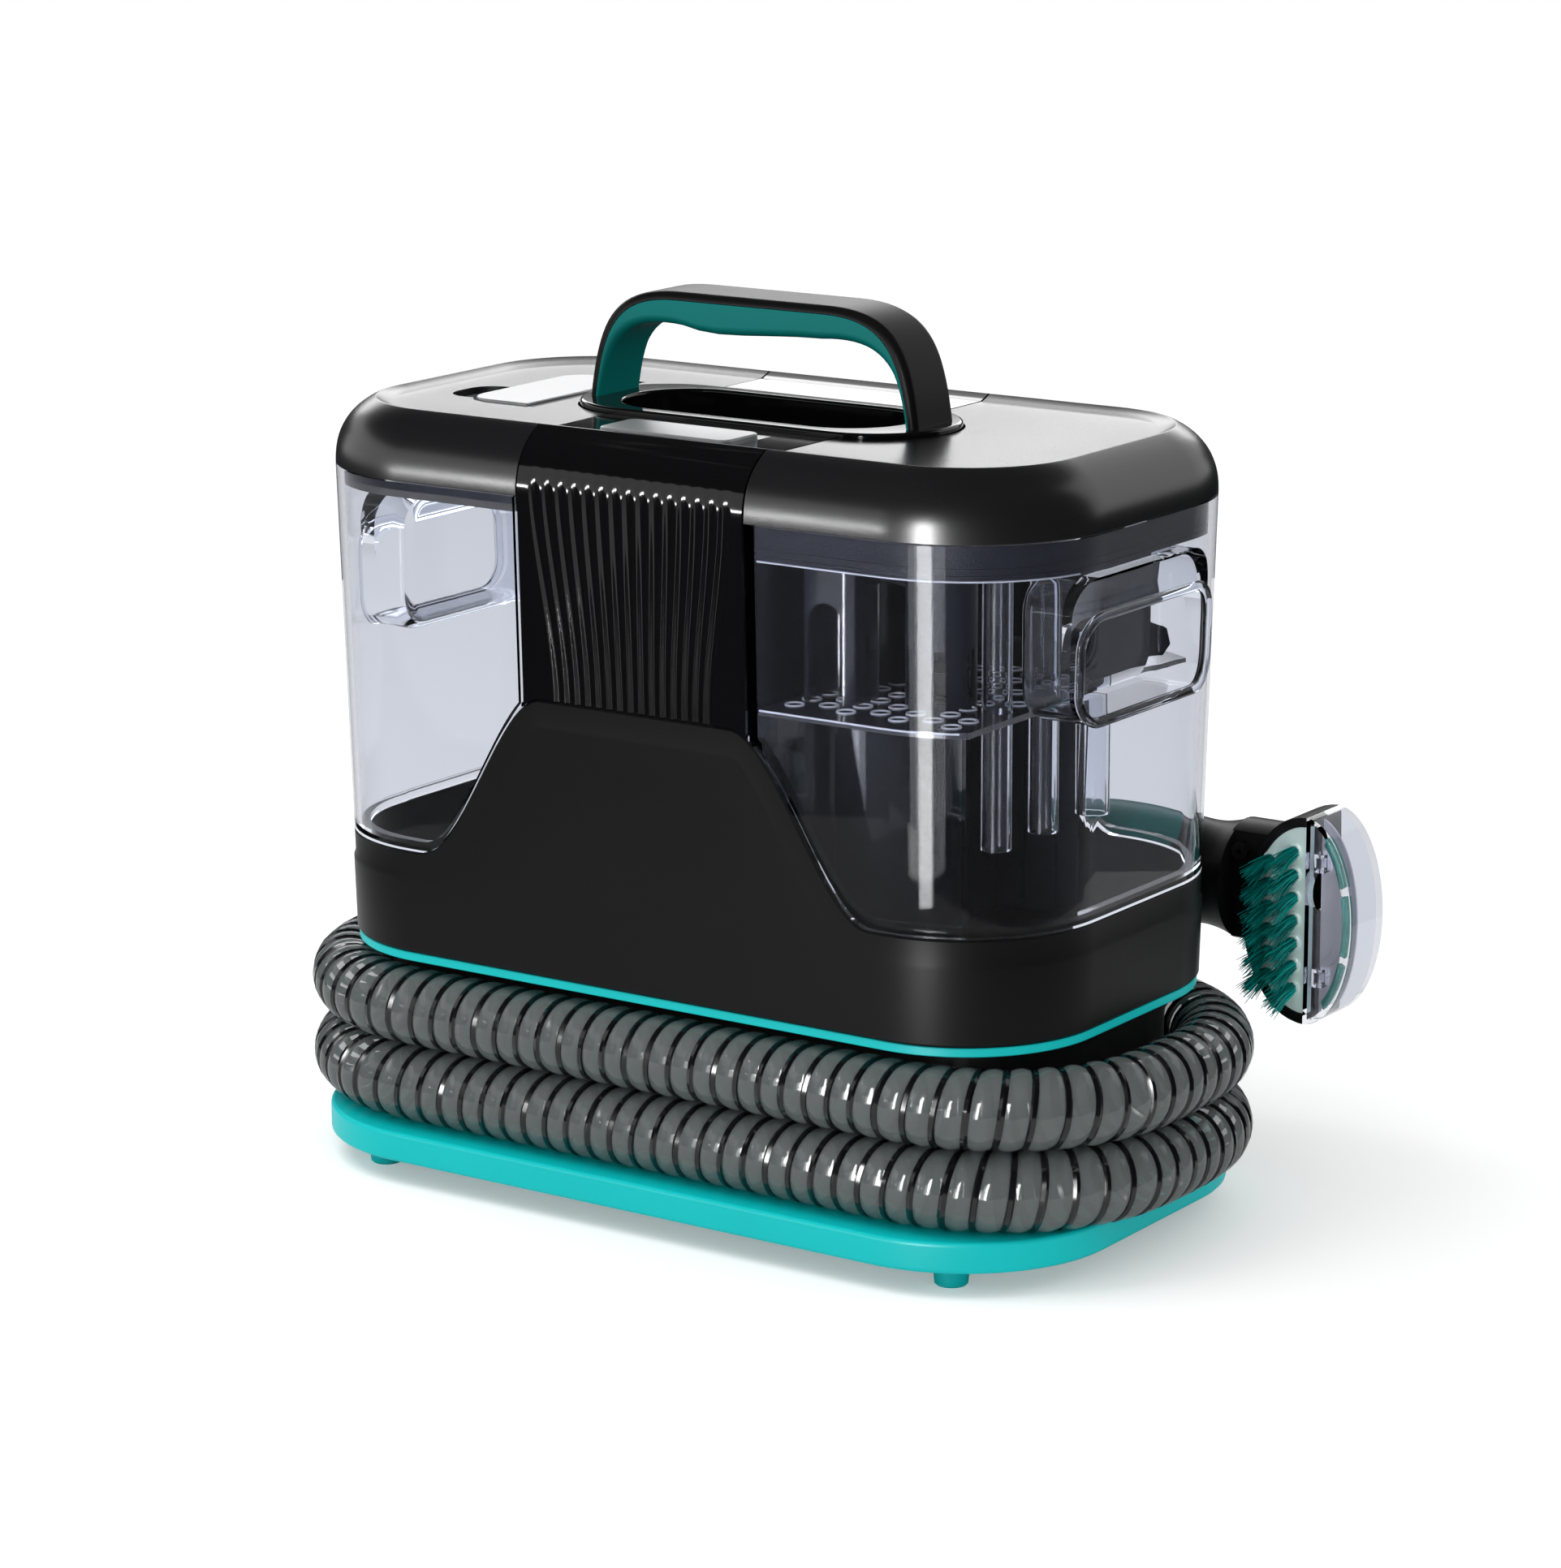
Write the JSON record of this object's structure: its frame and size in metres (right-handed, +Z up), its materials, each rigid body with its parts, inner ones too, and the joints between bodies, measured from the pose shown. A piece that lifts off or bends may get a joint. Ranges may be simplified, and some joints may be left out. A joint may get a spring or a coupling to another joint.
{
  "type": "spot extractor",
  "caption": "Portable spot extractor with two clear lift-off tanks on a motor housing, a carry handle, a ribbed hose wound round its base and a brush hand tool.",
  "frame": {"origin": "on the floor, at the centre of the four feet", "axes": "+X along the length to the machine's right, -Y to the front, +Z up"},
  "size_m": [0.4167, 0.261, 0.3681],
  "materials": {
    "teal_plastic": "satin",
    "teal_rubber": "soft touch",
    "satin_black": "satin",
    "gloss_black": "polished",
    "silver_plastic": "satin metallic",
    "steel": "plain",
    "board": "board",
    "black_rubber": "matte",
    "motor_casting": "cast",
    "fan_metal": "machined",
    "grey_plastic": "matte",
    "smoke_plastic": "polished",
    "foam": "open foam",
    "pale_plastic": "matte",
    "hose_plastic": "clear with dark ribs",
    "mint_plastic": "satin",
    "nylon": "bristle",
    "clear_plastic": "clear",
    "graphite_plastic": "satin metallic"
  },
  "bodies": {
    "base": {"base_plate": "teal_plastic", "feet": "teal_plastic", "base_screws": "steel", "hose_drum": "satin_black", "accent_strip": "teal_plastic", "housing": "satin_black", "housing_floor": "satin_black", "column_shell": "satin_black", "centre_panel": "gloss_black", "rear_cover": "gloss_black", "handle_tray": "gloss_black", "carry_handle": "satin_black", "handle_grip": "teal_rubber", "handle_screws": "steel", "button_switch": "satin_black", "circuit_board": "board", "motor_mount": "black_rubber", "suction_motor": "motor_casting", "fan_housing": "grey_plastic", "suction_pipe": "grey_plastic", "exhaust_filter": "foam", "water_pump": "pale_plastic", "pump_pads": "black_rubber", "water_line": "pale_plastic", "valve_socket": "satin_black", "cord_gland": "satin_black", "hose_port": "satin_black", "hose": "hose_plastic", "tool_cradle": "satin_black", "hose_cuff": "satin_black", "wand_body": "satin_black", "wand_cover": "teal_rubber", "trigger_pin": "steel", "spray_nozzle": "satin_black", "head_frame": "satin_black", "brush_plate": "mint_plastic", "bristle_tufts": "nylon"},
    "power_button": {"power_button": "silver_plastic"},
    "impeller": {"impeller": "fan_metal"},
    "clean_tank": {"clean_tank": "clear_plastic", "clean_tank_lid": "graphite_plastic", "clean_tank_seal": "black_rubber", "filler_neck": "satin_black", "flap_pin": "steel", "outlet_valve": "satin_black"},
    "filler_flap": {"filler_flap": "silver_plastic"},
    "dirty_tank": {"dirty_tank": "clear_plastic", "sieve_plate": "clear_plastic", "splash_baffle": "smoke_plastic"},
    "dirty_lid": {"dirty_tank_lid": "graphite_plastic", "dirty_tank_seal": "black_rubber", "intake_duct": "smoke_plastic", "air_duct": "grey_plastic", "float_cage": "grey_plastic", "down_tubes": "clear_plastic"},
    "float": {"float": "satin_black"},
    "trigger": {"trigger": "satin_black"},
    "hood": {"suction_hood": "clear_plastic", "suction_hood_clips": "clear_plastic"}
  },
  "joints": [
    {"name": "clean_tank_lift", "type": "slide", "parent": "base", "child": "clean_tank", "axis": [0, 0, 1], "range_m": [0, 0.2]},
    {"name": "dirty_tank_lift", "type": "slide", "parent": "base", "child": "dirty_tank", "axis": [0, 0, 1], "range_m": [0, 0.2]},
    {"name": "dirty_lid_lift", "type": "slide", "parent": "dirty_tank", "child": "dirty_lid", "axis": [0, 0, 1], "range_m": [0, 0.15]},
    {"name": "filler_flap_hinge", "type": "hinge", "parent": "clean_tank", "child": "filler_flap", "pos_m": [-0.094, 0, 0.3172], "axis": [0, 1, 0], "range_deg": [0, 90]},
    {"name": "power_button_press", "type": "slide", "parent": "base", "child": "power_button", "axis": [0, 0, -1], "range_m": [0, 0.002], "stiffness_N_per_m": 500, "springref_m": -0.003},
    {"name": "fan_spin", "type": "hinge", "parent": "base", "child": "impeller", "pos_m": [0, 0, 0.12], "axis": [0, 0, 1], "continuous": true},
    {"name": "float_rise", "type": "slide", "parent": "dirty_lid", "child": "float", "axis": [0, 0, 1], "range_m": [0, 0.014]},
    {"name": "trigger_squeeze", "type": "hinge", "parent": "base", "child": "trigger", "pos_m": [0.106, 0.13, 0.09], "axis": [0, 1, 0], "range_deg": [0, 6], "stiffness_Nm_per_rad": 0.5, "springref_deg": -8.59},
    {"name": "hood_slide", "type": "slide", "parent": "base", "child": "hood", "axis": [0, -1, 0], "range_m": [0, 0.03]}
  ]
}
